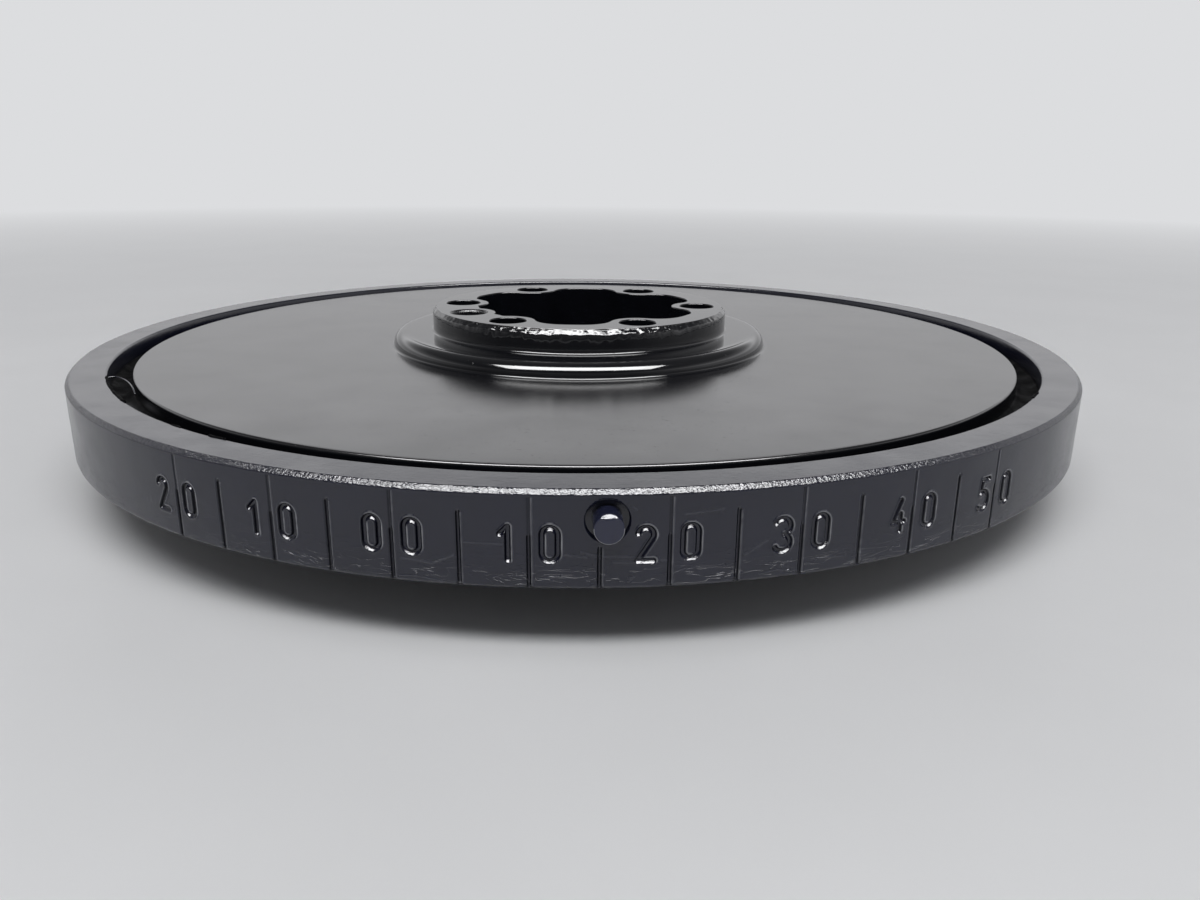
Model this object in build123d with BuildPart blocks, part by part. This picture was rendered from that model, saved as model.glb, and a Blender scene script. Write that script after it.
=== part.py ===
from build123d import *
from math import atan2, cos, degrees, hypot, radians, sin
import os

# Harmonic balancer of a car engine, lying on its rear boss with the front side up.
# Millimetres. The origin is the centre of the rear seat face, +Z is the crankshaft's axis
# towards the front of the engine, and the zero mark of the timing scale points along -Y.
# Scale angles run from the zero mark, and grow towards +X.

# Heights above the rear seat face
ring_top = 25.5
ring_height = 15.1
disc_top = ring_top - 0.6
disc_thickness = 11.0
collar_top = ring_top + 2.7
flange_top = ring_top + 8.1

# Radii
ring_outer_radius = 115.0
ring_inner_radius = 107.1
disc_radius = 102.5
collar_radius = 45.9
flange_radius = 36.3
bore_lobe_radius = 29.5

# Edges of the hub and the ring
collar_rounding = 2.7
collar_foot_fillet = 0.5
flange_chamfer = 1.0
flange_foot_fillet = 0.5
boss_foot_fillet = 4.0
rim_chamfer = 0.5
ring_top_chamfer = 0.7
ring_bottom_chamfer = 0.5

# Bolt circle, dowel and the lobed centre opening
bolt_circle_radius = 29.25
bolt_count = 6
bolt_hole_radius = 4.2
first_bolt_angle = 40.0
dowel_angle = -50.0
dowel_hole_radius = 4.0
dowel_chamfer = 0.5
bore_boss_radius = 6.3
pick_margin = 0.1
bore_lobe_fillet = 6.4
web_circle_radius = 6.0
web_circle_centre = 31.0
web_offset_angle = 15.0
web_fillet = 1.0

# Rubber ring
rubber_recess = 3.5
rubber_height = 8.0
rubber_hollow = 0.9

# Timing scale, stamped in the ring's outer face
scale_first = -20
scale_last = 50
line_width = 0.6
line_depth = 0.35
fine_line_width = 0.35
fine_line_depth = 0.18
fine_line_length = 7.0
fine_line_gap = 0.4
short_line_start = 3.3
digit_height = 5.8
digit_width = 3.0
digit_stroke = 0.7
digit_depth = 0.35
digit_offset = 3.1
digit_drop = 8.05
digit_two_turn = 35.0
stamp_standoff = 0.1

# Timing pin and its counterbored hole
pin_angle = 15.55
pin_mark = 15
pin_line_gap = 0.8
pin_drop = 4.6
pin_radius = 2.15
pin_projection = 3.2
pin_seat_depth = 6.0
pin_chamfer = 0.25
recess_radius = 3.25
recess_depth = 1.2

disc_bottom = disc_top - disc_thickness
ring_bottom = ring_top - ring_height


def scale_point(radius, angle):
    """A point at a scale angle, measured from -Y towards +X."""
    return (radius * sin(radians(angle)), -radius * cos(radians(angle)))


def face_plane(angle, drop, standoff=0.0):
    """A plane tangent to the ring's outer face, at a depth below its top, facing outwards."""
    x, y = scale_point(ring_outer_radius + standoff, angle)
    outward = (sin(radians(angle)), -cos(radians(angle)), 0)
    along = (cos(radians(angle)), sin(radians(angle)), 0)
    return Plane(origin=(x, y, ring_top - drop), x_dir=along, z_dir=outward)


def corner(sketch, x, y):
    """The corner of a section that lies nearest to a point."""
    return sketch.vertices().sort_by_distance((x, y, 0))[0]


def straight_stroke(start, end):
    """One straight stamped stroke with round ends, added to the sketch that is open."""
    run = (end[0] - start[0], end[1] - start[1])
    with Locations(((start[0] + end[0]) / 2, (start[1] + end[1]) / 2)):
        SlotCenterToCenter(hypot(*run), digit_stroke, rotation=degrees(atan2(run[1], run[0])))


def round_stroke(centre, radius, start_angle, sweep_angle):
    """One curved stamped stroke with round ends, added to the sketch that is open."""
    with BuildLine(mode=Mode.PRIVATE) as path:
        CenterArc(centre, radius, start_angle, sweep_angle)
    SlotArc(path.edge(), digit_stroke)


def digit_strokes(digit):
    """The strokes of one digit, centred on the sketch's origin."""
    top = (digit_height - digit_stroke) / 2
    side = (digit_width - digit_stroke) / 2
    if digit == "0":
        SlotOverall(digit_height, digit_width, rotation=90)
        SlotOverall(
            digit_height - 2 * digit_stroke,
            digit_width - 2 * digit_stroke,
            rotation=90,
            mode=Mode.SUBTRACT,
        )
    elif digit == "1":
        stem = 0.4 * side
        straight_stroke((stem, -top), (stem, top))
        straight_stroke((stem, top), (stem - side, top - side))
    elif digit == "2":
        turn = radians(digit_two_turn)
        round_stroke((0, top - side), side, -digit_two_turn, 165 + digit_two_turn)
        straight_stroke((side * cos(turn), top - side * (1 + sin(turn))), (-side, -top))
        straight_stroke((-side, -top), (side, -top))
    elif digit == "3":
        bowl = top / 2
        round_stroke((0, top - bowl), bowl, -75, 225)
        round_stroke((0, bowl - top), bowl, -150, 225)
    elif digit == "4":
        straight_stroke((0.3 * side, top), (-side, -0.4 * top))
        straight_stroke((-side, -0.4 * top), (side, -0.4 * top))
        straight_stroke((0.4 * side, 0.1 * top), (0.4 * side, -top))
    elif digit == "5":
        bowl = 0.6 * top
        straight_stroke((-0.6 * side, top), (side, top))
        straight_stroke((-0.6 * side, top), (-0.8 * side, 0.1 * top))
        round_stroke((-0.2 * side, bowl - top), bowl, -130, 235)


# Hub: flange, collar, disc and rear boss in one turned casting
with BuildPart() as hub:
    with BuildSketch(Plane.XZ) as hub_section:
        with BuildLine():
            Polyline(
                (0, 0),
                (flange_radius, 0),
                (flange_radius, disc_bottom),
                (disc_radius, disc_bottom),
                (disc_radius, disc_top),
                (collar_radius, disc_top),
                (collar_radius, collar_top),
                (flange_radius, collar_top),
                (flange_radius, flange_top),
                (0, flange_top),
                close=True,
            )
        make_face()
        fillet(corner(hub_section, collar_radius, disc_top), collar_foot_fillet)
        fillet(corner(hub_section, collar_radius, collar_top), collar_rounding)
        fillet(corner(hub_section, flange_radius, collar_top), flange_foot_fillet)
        fillet(corner(hub_section, flange_radius, disc_bottom), boss_foot_fillet)
        chamfer(corner(hub_section, flange_radius, flange_top), flange_chamfer)
        chamfer(corner(hub_section, flange_radius, 0), flange_chamfer)
        chamfer(corner(hub_section, disc_radius, disc_top), rim_chamfer)
        chamfer(corner(hub_section, disc_radius, disc_bottom), rim_chamfer)
    revolve(axis=Axis.Z)
    # Five lobes between the bolt bosses. The sixth place is filled by the dowel's boss.
    with BuildSketch() as centre_opening:
        Circle(bore_lobe_radius)
        for number in range(bolt_count):
            with Locations(scale_point(bolt_circle_radius, first_bolt_angle + number * 360 / bolt_count)):
                Circle(bore_boss_radius, mode=Mode.SUBTRACT)
        with Locations(scale_point(bolt_circle_radius, dowel_angle)):
            Circle(bore_boss_radius, mode=Mode.SUBTRACT)
        for side in (-1, 1):
            with Locations(scale_point(web_circle_centre, dowel_angle + side * web_offset_angle)):
                Circle(web_circle_radius, mode=Mode.SUBTRACT)
        lobe_corners = centre_opening.vertices().filter_by(
            lambda vertex: hypot(vertex.X, vertex.Y) > bore_lobe_radius - pick_margin
        )
        fillet(lobe_corners, bore_lobe_fillet)
        for side in (-1, 1):
            notch = scale_point(web_circle_centre - web_circle_radius, dowel_angle + side * web_offset_angle)
            notch_corners = centre_opening.vertices().sort_by_distance((*notch, 0))[:2]
            fillet(notch_corners, web_fillet)
    extrude(amount=flange_top, mode=Mode.SUBTRACT)
    # Six bolt holes and one chamfered dowel hole, drilled right through
    with BuildSketch(Plane.XY.offset(flange_top)):
        for number in range(bolt_count):
            with Locations(scale_point(bolt_circle_radius, first_bolt_angle + number * 360 / bolt_count)):
                Circle(bolt_hole_radius)
        with Locations(scale_point(bolt_circle_radius, dowel_angle)):
            Circle(dowel_hole_radius)
    extrude(amount=-flange_top, mode=Mode.SUBTRACT)
    dowel_rim = hub.faces().sort_by(Axis.Z)[-1].edges().filter_by(GeomType.CIRCLE)
    chamfer(dowel_rim.sort_by_distance((*scale_point(bolt_circle_radius, dowel_angle), flange_top))[0],
            dowel_chamfer)

# Rubber ring, moulded between the disc's rim and the ring, with hollow upper and lower faces
rubber_top = ring_top - rubber_recess
rubber_bottom = rubber_top - rubber_height
rubber_middle = (disc_radius + ring_inner_radius) / 2
with BuildPart() as rubber_ring:
    with BuildSketch(Plane.XZ):
        with BuildLine():
            ThreePointArc(
                (disc_radius, rubber_top),
                (rubber_middle, rubber_top - rubber_hollow),
                (ring_inner_radius, rubber_top),
            )
            Line((ring_inner_radius, rubber_top), (ring_inner_radius, rubber_bottom))
            ThreePointArc(
                (ring_inner_radius, rubber_bottom),
                (rubber_middle, rubber_bottom + rubber_hollow),
                (disc_radius, rubber_bottom),
            )
            Line((disc_radius, rubber_bottom), (disc_radius, rubber_top))
        make_face()
    revolve(axis=Axis.Z)

# Inertia ring with its stamped scale
with BuildPart() as inertia_ring:
    with BuildSketch(Plane.XZ) as ring_section:
        with Locations(((ring_inner_radius + ring_outer_radius) / 2, ring_top - ring_height / 2)):
            Rectangle(ring_outer_radius - ring_inner_radius, ring_height)
        chamfer(corner(ring_section, ring_outer_radius, ring_top), ring_top_chamfer)
        chamfer(corner(ring_section, ring_outer_radius, ring_bottom), ring_bottom_chamfer)
    revolve(axis=Axis.Z)
    # Scale lines every 5 degrees. The long ones, every 10 degrees, are finer in their upper half.
    for mark in range(scale_first, scale_last + 1, 5):
        is_long = mark % 10 == 0
        line_start = fine_line_length if is_long else short_line_start
        if mark == pin_mark:
            line_start = pin_drop + recess_radius + pin_line_gap
        line_length = ring_height - line_start
        with BuildSketch(face_plane(mark, line_start + line_length / 2)):
            Rectangle(line_width, line_length)
        extrude(amount=-line_depth, mode=Mode.SUBTRACT)
        if is_long:
            fine_start = ring_top_chamfer + fine_line_gap
            fine_length = fine_line_length - fine_start
            with BuildSketch(face_plane(mark, fine_start + fine_length / 2)):
                Rectangle(fine_line_width, fine_length)
            extrude(amount=-fine_line_depth, mode=Mode.SUBTRACT)
            # Two digits of each label, one on each side of the line
            offset_angle = degrees(digit_offset / ring_outer_radius)
            for digit, side in zip(f"{abs(mark):02d}", (-1, 1)):
                with BuildSketch(face_plane(mark + side * offset_angle, digit_drop, stamp_standoff)):
                    digit_strokes(digit)
                extrude(amount=-digit_depth - stamp_standoff, mode=Mode.SUBTRACT)
    # Counterbored hole that the timing pin is pressed into
    with BuildSketch(face_plane(pin_angle, pin_drop, stamp_standoff)):
        Circle(recess_radius)
    extrude(amount=-recess_depth - stamp_standoff, mode=Mode.SUBTRACT)
    with BuildSketch(face_plane(pin_angle, pin_drop)):
        Circle(pin_radius)
    extrude(amount=-pin_seat_depth, mode=Mode.SUBTRACT)

# Timing pin
with BuildPart() as timing_pin:
    with BuildSketch(face_plane(pin_angle, pin_drop, pin_projection)):
        Circle(pin_radius)
    extrude(amount=-pin_projection - pin_seat_depth)
    outer_end = face_plane(pin_angle, pin_drop, pin_projection).origin
    pin_rims = timing_pin.edges().filter_by(GeomType.CIRCLE)
    chamfer(pin_rims.sort_by_distance(outer_end)[0], pin_chamfer)

sub_parts = {
    "hub": hub,
    "rubber_ring": rubber_ring,
    "inertia_ring": inertia_ring,
    "timing_pin": timing_pin,
}
os.makedirs("parts", exist_ok=True)
for name, sub_part in sub_parts.items():
    sub_part.part.label = name
    export_step(sub_part.part, f"parts/{name}.step")
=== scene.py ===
"""A crankshaft's harmonic balancer: a painted hub, its rubber, and a ring with a stamped timing scale."""

import math
from types import SimpleNamespace

import bmesh
import bpy
import numpy as np
from mathutils import Euler, Matrix, Vector


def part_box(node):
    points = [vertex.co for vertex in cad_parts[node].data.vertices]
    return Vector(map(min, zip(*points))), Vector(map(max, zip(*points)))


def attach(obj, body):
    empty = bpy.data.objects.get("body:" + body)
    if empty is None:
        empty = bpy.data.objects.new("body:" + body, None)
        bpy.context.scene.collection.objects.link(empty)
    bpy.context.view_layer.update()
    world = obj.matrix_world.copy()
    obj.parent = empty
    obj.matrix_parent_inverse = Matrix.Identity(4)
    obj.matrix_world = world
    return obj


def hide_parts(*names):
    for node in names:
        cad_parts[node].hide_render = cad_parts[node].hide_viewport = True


bl_info = {
    "name": "Harmonic Balancer",
    "version": (1, 0, 0),
    "blender": (4, 5, 0),
    "location": "View3D > Sidebar > Balancer",
    "description": "Builds a crankshaft harmonic balancer with a stamped timing scale",
    "category": "Object",
}

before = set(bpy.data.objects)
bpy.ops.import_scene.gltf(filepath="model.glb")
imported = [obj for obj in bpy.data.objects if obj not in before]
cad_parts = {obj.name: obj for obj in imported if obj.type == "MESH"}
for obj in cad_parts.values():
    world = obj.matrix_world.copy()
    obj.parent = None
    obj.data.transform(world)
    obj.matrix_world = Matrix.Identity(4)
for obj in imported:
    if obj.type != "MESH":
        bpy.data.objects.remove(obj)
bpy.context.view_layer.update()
BODY = "root"
# Sizes are in millimetres and angles in degrees where nothing else is said
MM = 0.001
FULL_TURN = 360.0

ring_low, ring_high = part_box("inertia_ring")
rubber_low, rubber_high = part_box("rubber_ring")


# ---------------------------------------------------------------- settings

def length(name, description, millimetres):
    """A size that the user can change, shown in the scene's own unit."""
    return bpy.props.FloatProperty(
        name=name, description=description, default=millimetres * MM,
        min=0.0, precision=5, subtype="DISTANCE", unit="LENGTH",
    )


def angle(name, description, degrees):
    """An angle that the user can change."""
    return bpy.props.FloatProperty(
        name=name, description=description, default=math.radians(degrees),
        subtype="ANGLE", unit="ROTATION",
    )


def linear(hex_colour):
    """An sRGB hex colour as linear red, green and blue."""
    channels = [int(hex_colour[i:i + 2], 16) / 255 for i in (1, 3, 5)]
    return tuple(c / 12.92 if c <= 0.04045 else ((c + 0.055) / 1.055) ** 2.4 for c in channels)


def colour(name, description, hex_colour):
    """A colour that the user can change."""
    return bpy.props.FloatVectorProperty(
        name=name, description=description, default=linear(hex_colour),
        size=3, min=0.0, max=1.0, subtype="COLOR",
    )


class BalancerHubSettings(bpy.types.PropertyGroup):
    """Sizes and colours of the hub."""
    disc_radius: length("Disc radius", "Outer radius of the flat disc", 102.5)
    disc_top: length("Disc height", "Height of the disc's upper face over the rear seat", 24.9)
    disc_bottom: length("Disc underside", "Height of the disc's lower face", 13.9)
    collar_radius: length("Collar radius", "Outer radius of the low collar", 45.9)
    collar_top: length("Collar height", "Height of the collar's flat top", 28.2)
    collar_rounding: length("Collar rounding", "Radius of the collar's outer edge", 2.6)
    flange_radius: length("Flange radius", "Outer radius of the raised flange", 36.3)
    flange_top: length("Flange height", "Height of the flange's seat face", 33.6)
    flange_chamfer: length("Flange chamfer", "Width of the flange's sawn chamfer", 1.0)
    chamfer_roughness: length("Chamfer roughness", "Depth of the chatter marks on the chamfer", 0.2)
    enamel: colour("Enamel", "Colour of the hub's gloss enamel", "#0b0c10")


class BalancerRingSettings(bpy.types.PropertyGroup):
    """Sizes and colours of the inertia ring and its scale."""
    inner_radius: length("Inner radius", "Radius of the ring's bore", 107.1)
    line_width: length("Line width", "Width of a scale line at the surface", 0.66)
    line_depth: length("Line depth", "Depth of a scale line", 0.35)
    fine_width: length("Fine line width", "Width of the long lines' upper half", 0.4)
    fine_depth: length("Fine line depth", "Depth of the long lines' upper half", 0.16)
    digit_height: length("Digit height", "Overall height of a stamped digit", 5.76)
    digit_width: length("Digit width", "Overall width of a stamped digit", 2.98)
    digit_stroke: length("Stroke", "Width of the stamp's strokes", 0.71)
    digit_depth: length("Digit depth", "Depth of the stamped digits", 0.4)
    lip_height: length("Lip", "Height of the metal that a stamp pushes up beside its strokes", 0.11)
    enamel: colour("Enamel", "Colour of the ring's enamel", "#101220")


class BalancerRubberSettings(bpy.types.PropertyGroup):
    """Sizes and colours of the rubber ring."""
    inner_radius: length("Inner radius", "Radius at which the rubber meets the hub's rim", 102.5)
    hollow: length("Hollow", "Depth of the hollow in the rubber's free faces", 0.9)
    rubber: colour("Rubber", "Colour of the rubber", "#040405")


class BalancerPinSettings(bpy.types.PropertyGroup):
    """Sizes and place of the timing pin."""
    radius: length("Radius", "Radius of the pin", 2.15)
    projection: length("Projection", "How far the pin stands out of the ring", 3.2)
    seat_depth: length("Seat depth", "How deep the pin is pressed in", 6.0)
    drop: length("Drop", "Depth of the pin's axis below the ring's top", 4.6)
    place: angle("Scale angle", "Place of the pin on the timing scale", 15.55)
    recess_radius: length("Recess radius", "Radius of the recess around the pin", 3.25)
    recess_depth: length("Recess depth", "Depth of the recess around the pin", 1.2)


class BalancerStageSettings(bpy.types.PropertyGroup):
    """Floor, light and camera."""
    floor: colour("Floor", "Colour of the floor", "#dedfe1")
    backdrop: colour("Backdrop", "Colour behind the object", "#dcdddf")
    lens: bpy.props.FloatProperty(
        name="Lens", description="Focal length of the camera, in millimetres",
        default=28.46, min=1.0, unit="CAMERA",
    )
    key_level: bpy.props.FloatProperty(
        name="Key level", description="Brightness of the softbox overhead, where 1 is white",
        default=6.5, min=0.0,
    )


def in_millimetres(settings):
    """A group's settings as plain values, with its sizes in millimetres."""
    values = {}
    for name in settings.__annotations__:
        value = getattr(settings, name)
        if settings.bl_rna.properties[name].unit == "LENGTH":
            value /= MM
        values[name] = value if isinstance(value, float) else tuple(value)
    return SimpleNamespace(**values)


# ---------------------------------------------------------------- materials

# Bare iron at the scratches; the same pale tone stands for painted highlights on lips and rims and a
# painted patch of light on the rubber
HIGHLIGHT_AND_BARE_IRON = "#8d8e92"
# The disc starts here, in metres from the axis, and is duller than the collar by this roughness
DISC_START = (0.0462, 0.0472)
DISC_DULLNESS = 0.1
# How far the turning marks stray sideways and up, in metres
MARKS_WANDER = (0.0004, 0.0004, 0.02)
# Heights between which the threads of paint thin out, in metres
THREADS_END = (0.0115, 0.0185)
# Distances between which the floor fades into the backdrop, in metres
FLOOR_FADE = (0.15, 1.1)


def add_node(tree, kind, inputs=(), **settings):
    """One shader node with its settings. Its inputs are named, or listed in the node's own order. Each
    is a value, the socket that feeds it, or a node whose first output in use feeds it."""
    node = tree.nodes.new("ShaderNode" + kind)
    for name, value in settings.items():
        setattr(node, name, value)
    for name, value in inputs.items() if isinstance(inputs, dict) else enumerate(inputs):
        if isinstance(value, bpy.types.Node):
            value = next(output for output in value.outputs if output.enabled)
        if isinstance(value, bpy.types.NodeSocket):
            tree.links.new(value, node.inputs[name])
        else:
            node.inputs[name].default_value = value
    return node


def new_material(name):
    """An empty material and its tree."""
    material = bpy.data.materials.new(name)
    material.use_nodes = True
    material.node_tree.nodes.clear()
    return material, material.node_tree


def patches(tree, size_mm, detail=2.0, roughness=0.5):
    """Soft unevenness of the surface, with patches of about one size, in millimetres."""
    place = add_node(tree, "TexCoord").outputs["Object"]
    return add_node(tree, "TexNoise", {
        "Vector": place, "Scale": 1.0 / (size_mm * MM), "Detail": detail, "Roughness": roughness})


def radius_from_axis(tree, place):
    """How far the surface is from the balancer's axis."""
    flat = add_node(tree, "VectorMath", (place, (1.0, 1.0, 0.0)), operation="MULTIPLY")
    return add_node(tree, "VectorMath", (flat,), operation="LENGTH")


def turning_marks(tree, pitch_mm):
    """Fine circular tool marks about Z, on faces that point up and on faces that point out."""
    place = add_node(tree, "TexCoord").outputs["Object"]
    height = add_node(tree, "SeparateXYZ", (place,)).outputs["Z"]
    section = add_node(tree, "CombineXYZ", (radius_from_axis(tree, place), height))
    slow = add_node(tree, "TexNoise", {"Vector": place, "Scale": 18.0, "Detail": 1.0})
    wandering = add_node(tree, "VectorMath", (
        slow.outputs["Color"], MARKS_WANDER, section), operation="MULTIPLY_ADD")
    return add_node(tree, "TexNoise", {
        "Vector": wandering, "Scale": 1.0 / (pitch_mm * MM), "Detail": 3.0, "Roughness": 0.65})


def worn_paint_and_painted_light(tree, rgb, *layers):
    """A paint's colour, changed by layers of (where, brightness), some of which are painted shade, and a
    pale iron tone that is bare iron at scratches and a painted highlight elsewhere.
    """
    rubbed = add_node(tree, "Attribute", attribute_name="rubbed").outputs["Fac"]
    tones = [(where, [c * brightness for c in rgb]) for where, brightness in layers]
    paint = (*rgb, 1.0)
    for where, tone in (*tones, (rubbed, linear(HIGHLIGHT_AND_BARE_IRON))):
        paint = add_node(tree, "Mix", {
            "Factor": where, "A": paint, "B": (*tone, 1.0)}, data_type="RGBA")
    return paint


def layered_relief(tree, *layers):
    """The normal of a surface with relief in layers of (strength, depth in mm, height)."""
    relief = {}
    for strength, depth_mm, height in layers:
        relief = {"Normal": add_node(tree, "Bump", {
            "Strength": strength, "Distance": depth_mm * MM, "Height": height, **relief})}
    return relief["Normal"]


def gloss_enamel(name, rgb):
    """Black alkyd enamel sprayed on a turned casting: a deep, nearly mirror-like gloss over a slight
    haze, with a soft flow in the film, a few dust grains under it, and glitter on the sawn chamfers."""
    material, tree = new_material(name)
    sawn = add_node(tree, "Attribute", attribute_name="sawn").outputs["Fac"]
    place = add_node(tree, "TexCoord").outputs["Object"]
    disc = add_node(tree, "MapRange", (
        radius_from_axis(tree, place), *DISC_START, 0.0, DISC_DULLNESS))
    haze = add_node(tree, "MapRange", (patches(tree, 14.0, 3.0), 0.3, 0.7, 0.07, 0.11))
    haze = add_node(tree, "Math", (haze, disc), operation="ADD")
    grains = add_node(tree, "MapRange", (patches(tree, 0.6, 1.0), 0.74, 0.8))
    relief = layered_relief(
        tree, (0.25, 0.02, patches(tree, 2.4)), (0.5, 0.03, grains),
        (sawn, 0.12, patches(tree, 0.4, 3.0, 0.7)))
    surface = add_node(tree, "BsdfPrincipled", {
        "Base Color": worn_paint_and_painted_light(tree, rgb, (patches(tree, 6.0, 4.0), 1.6)), "Roughness": haze,
        "IOR": 1.5, "Normal": relief})
    add_node(tree, "OutputMaterial", {"Surface": surface})
    return material


def ring_enamel(name, rgb):
    """Black enamel sprayed thinly on turned iron: glossy, but it lets the lathe's fine circular marks
    through, with threads and wrinkles near the lower edge, and glitter on the sawn chamfer. Painted shade
    darkens the strokes' steep walls, and painted highlights lie on their lips."""
    material, tree = new_material(name)
    sawn, cavity = (
        add_node(tree, "Attribute", attribute_name=stored).outputs["Fac"]
        for stored in ("sawn", "cavity"))
    cloud = patches(tree, 9.0, 4.0)
    haze = add_node(tree, "MapRange", (cloud, 0.3, 0.7, 0.15, 0.24))
    # Threads of paint: thin ridges where a stretched noise crosses its middle
    place = add_node(tree, "TexCoord").outputs["Object"]
    height = add_node(tree, "SeparateXYZ", (place,)).outputs["Z"]
    stretched = add_node(tree, "Mapping", {"Vector": place, "Scale": (0.25, 0.25, 1.0)})
    threads = add_node(tree, "TexNoise", {
        "Vector": stretched, "Scale": 1.0 / (1.5 * MM), "Detail": 2.0, "Distortion": 1.2})
    from_middle = add_node(tree, "Math", (threads, 0.5), operation="SUBTRACT")
    from_middle = add_node(tree, "Math", (from_middle,), operation="ABSOLUTE")
    ridge = add_node(tree, "MapRange", (from_middle, 0.0, 0.012, 1.0, 0.0))
    low_down = add_node(tree, "MapRange", (height, *THREADS_END, 0.8, 0.12))
    relief = layered_relief(
        tree, (low_down, 0.05, ridge), (0.25, 0.05, patches(tree, 1.8, 3.0, 0.6)),
        (0.3, 0.03, turning_marks(tree, 0.3)), (sawn, 0.2, patches(tree, 0.5, 2.0, 0.6)))
    # Painted shade: the strokes' steep walls are darkened in colour and in gloss, as little light finds
    # its way into them
    gloss = add_node(tree, "MapRange", (cavity, 0.0, 1.0, 0.5, 0.04))
    surface = add_node(tree, "BsdfPrincipled", {
        "Base Color": worn_paint_and_painted_light(tree, rgb, (cloud, 1.7), (cavity, 0.2)), "Roughness": haze,
        "IOR": 1.5, "Specular IOR Level": gloss, "Normal": relief})
    add_node(tree, "OutputMaterial", {"Surface": surface})
    return material


def moulded_rubber(name, rgb):
    """Black natural rubber, moulded between hub and ring: dull and very dark, with a fine grain and
    soft unevenness where paint mist has settled on it, and a painted patch of light where the piece marks
    one."""
    material, tree = new_material(name)
    mist_and_lit_patch = patches(tree, 5.0, 4.0, 0.6)
    rough = add_node(tree, "MapRange", (mist_and_lit_patch, 0.35, 0.65, 0.75, 0.45))
    surface = add_node(tree, "BsdfPrincipled", {
        "Base Color": worn_paint_and_painted_light(tree, rgb, (mist_and_lit_patch, 2.0)), "Roughness": rough,
        "Specular IOR Level": 0.02,
        "Normal": layered_relief(tree, (0.6, 0.08, patches(tree, 0.5, 3.0, 0.6)))})
    add_node(tree, "OutputMaterial", {"Surface": surface})
    return material


def painted_floor(name, rgb, backdrop):
    """A plain pale floor: matt paint with the faintest mottle, which fades into the backdrop far off."""
    material, tree = new_material(name)
    mottle = add_node(tree, "MapRange", (patches(tree, 60.0, 3.0), 0.3, 0.7, 0.98, 1.02))
    tone = add_node(tree, "VectorMath", {0: rgb, "Scale": mottle}, operation="SCALE")
    surface = add_node(tree, "BsdfPrincipled", {"Base Color": tone, "Roughness": 0.55})
    place = add_node(tree, "TexCoord").outputs["Object"]
    distance = add_node(tree, "VectorMath", (place,), operation="LENGTH")
    far = add_node(tree, "MapRange", (distance, *FLOOR_FADE))
    seen = add_node(tree, "LightPath").outputs["Is Camera Ray"]
    share = add_node(tree, "Math", (far, seen), operation="MULTIPLY")
    haze = add_node(tree, "Emission", {"Color": (*backdrop, 1.0), "Strength": 1.0})
    mix = add_node(tree, "MixShader", (share, surface, haze))
    add_node(tree, "OutputMaterial", {"Surface": mix})
    return material


# ---------------------------------------------------------------- mesh helpers

# Points nearer than this are one, in metres
SAME_POINT = 1e-6


def turned_section(corners):
    """A bmesh that holds one half section in the XZ plane, in metres. Each corner is its radius, its
    height and, where not zero, the radius that rounds it and the cuts in the run to the next corner."""
    bm = bmesh.new()
    corners = [(*corner, 0, 0)[:4] for corner in corners]
    places = [Vector((radius * MM, 0.0, height * MM)) for radius, height, _, _ in corners]
    points = [bm.verts.new(place) for place in places]
    for start, end in zip(points, points[1:]):
        bm.edges.new((start, end))
    for point, (_, _, rounding, _) in zip(points, corners):
        if rounding:
            bmesh.ops.bevel(
                bm, geom=[point], offset=rounding * MM, offset_type="OFFSET",
                segments=max(3, min(14, round(rounding * 6))), profile=0.5, affect="VERTICES", material=-1,
            )
    for a, b, (_, _, _, cuts) in zip(places, places[1:], corners):
        if not cuts:
            continue
        along = (b - a).normalized()
        runs = [
            edge for edge in bm.edges
            if edge.calc_length() > 0.3 * (b - a).length
            and all((v.co - a).cross(along).length < SAME_POINT / 10 for v in edge.verts)
        ]
        bmesh.ops.subdivide_edges(bm, edges=runs, cuts=cuts)
    bmesh.ops.remove_doubles(bm, verts=bm.verts, dist=SAME_POINT)
    return bm


def spin_about_axis(section, sectors, start=0.0):
    """Spins a section about Z and joins the sectors, each (degrees, steps). They add up to a turn."""
    whole = bmesh.new()
    for degrees, steps in sectors:
        sector = section.copy()
        turn = Matrix.Rotation(math.radians(start), 3, "Z")
        bmesh.ops.rotate(sector, cent=(0.0, 0.0, 0.0), matrix=turn, verts=sector.verts)
        bmesh.ops.spin(
            sector, geom=sector.verts[:] + sector.edges[:], cent=(0.0, 0.0, 0.0), axis=(0.0, 0.0, 1.0),
            angle=math.radians(degrees), steps=steps, use_merge=False,
        )
        add_to(whole, sector)
        start += degrees
    section.free()
    bmesh.ops.remove_doubles(whole, verts=whole.verts, dist=2 * SAME_POINT)
    bmesh.ops.recalc_face_normals(whole, faces=whole.faces)
    return whole


def even_sectors(steps, sectors=12):
    """A full turn of even steps, in short sectors, which spin faster than one long one."""
    return [(FULL_TURN / sectors, steps // sectors)] * sectors


def to_mesh(bm, name):
    """A new mesh from a bmesh, which is freed."""
    mesh = bpy.data.meshes.new(name)
    bm.to_mesh(mesh)
    bm.free()
    return mesh


def add_to(whole, part):
    """Adds one bmesh to another, and frees it."""
    mesh = to_mesh(part, "part")
    whole.from_mesh(mesh)
    bpy.data.meshes.remove(mesh)


def add_object(name, data):
    """A new object in the scene."""
    added = bpy.data.objects.new(name, data)
    bpy.context.scene.collection.objects.link(added)
    return added


def on_scale(radius, turn, height=0.0):
    """A point by its radius, its angle on the timing scale in radians, and its height."""
    return Vector((radius * math.sin(turn), -radius * math.cos(turn), height))


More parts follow.
